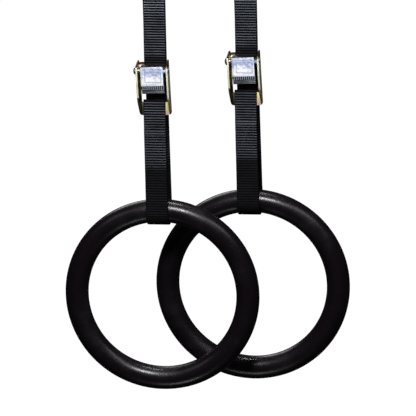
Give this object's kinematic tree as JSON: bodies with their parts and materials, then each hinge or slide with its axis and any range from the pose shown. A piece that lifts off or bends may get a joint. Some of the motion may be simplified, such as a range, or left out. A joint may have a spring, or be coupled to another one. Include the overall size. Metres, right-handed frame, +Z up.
{
  "type": "gymnastics rings",
  "caption": "Pair of round gymnastics rings hung on webbing straps that loop over a support, each strap closed and adjusted by a cam buckle.",
  "frame": {"origin": "on the axis of the support that the left strap hangs over, in the middle of the strap", "axes": "+Z up, +X to the right along the support, -Y to the front, where the buckles face"},
  "size_m": [0.3387, 0.1003, 0.5474],
  "materials": {
    "ring_plastic": "black plastic with a fine pebbled grip texture",
    "webbing": "black ribbed polyester webbing with plain selvedges",
    "yellow_zinc": "stamped steel with yellow zinc plating",
    "cast_zinc": "bright die-cast zinc with ribs for the thumb",
    "steel": "plain steel rivet and spring wire"
  },
  "bodies": {
    "left_support_loops": {"left_strap_crown": "webbing", "left_tail_crown": "webbing"},
    "left_hanging_strap": {"left_tail_end": "webbing", "left_tail_run": "webbing", "left_cam_turn": "webbing", "left_load_run": "webbing", "left_back_run": "webbing", "left_ring_loop": "webbing", "left_front_run": "webbing", "left_fixed_fold": "webbing", "left_buckle_frame": "yellow_zinc", "left_pivot_pin": "steel", "left_lever_spring": "steel"},
    "left_lever": {"left_cam_lever": "cast_zinc"},
    "left_hanging_ring": {"left_ring": "ring_plastic"},
    "right_support_loops": {"right_strap_crown": "webbing", "right_tail_crown": "webbing"},
    "right_hanging_strap": {"right_tail_end": "webbing", "right_tail_run": "webbing", "right_cam_turn": "webbing", "right_load_run": "webbing", "right_back_run": "webbing", "right_ring_loop": "webbing", "right_front_run": "webbing", "right_fixed_fold": "webbing", "right_buckle_frame": "yellow_zinc", "right_pivot_pin": "steel", "right_lever_spring": "steel"},
    "right_lever": {"right_cam_lever": "cast_zinc"},
    "right_hanging_ring": {"right_ring": "ring_plastic"}
  },
  "joints": [
    {"name": "left_swing", "type": "hinge", "parent": "left_support_loops", "child": "left_hanging_strap", "pos_m": [0, 0, 0], "axis": [1, 0, 0], "range_deg": [-60, 1.5], "deforming": ["left_strap_crown", "left_tail_crown"]},
    {"name": "left_lever_press", "type": "hinge", "parent": "left_hanging_strap", "child": "left_lever", "pos_m": [-0.0024, -0.022, -0.138], "axis": [0.9994, 0, 0.0349], "range_deg": [0, 25], "stiffness_Nm_per_rad": 0.6, "springref_deg": -20.05},
    {"name": "left_ring_tilt", "type": "hinge", "parent": "left_hanging_strap", "child": "left_hanging_ring", "pos_m": [0, 0, -0.316], "axis": [1, 0, 0], "range_deg": [-75, 2]},
    {"name": "right_swing", "type": "hinge", "parent": "right_support_loops", "child": "right_hanging_strap", "pos_m": [0.1027, 0.0545, 0], "axis": [1, 0, 0], "range_deg": [-1.5, 60], "deforming": ["right_strap_crown", "right_tail_crown"]},
    {"name": "right_lever_press", "type": "hinge", "parent": "right_hanging_strap", "child": "right_lever", "pos_m": [0.1003, 0.0325, -0.138], "axis": [0.9994, 0, 0.0349], "range_deg": [0, 25], "stiffness_Nm_per_rad": 0.6, "springref_deg": -20.05},
    {"name": "right_ring_tilt", "type": "hinge", "parent": "right_hanging_strap", "child": "right_hanging_ring", "pos_m": [0.1027, 0.0545, -0.316], "axis": [1, 0, 0], "range_deg": [-2, 75]},
    {"name": "right_spacing", "type": "slide", "parent": "left_support_loops", "child": "right_support_loops", "axis": [1, 0, 0], "range_m": [0, 0.3973]}
  ]
}
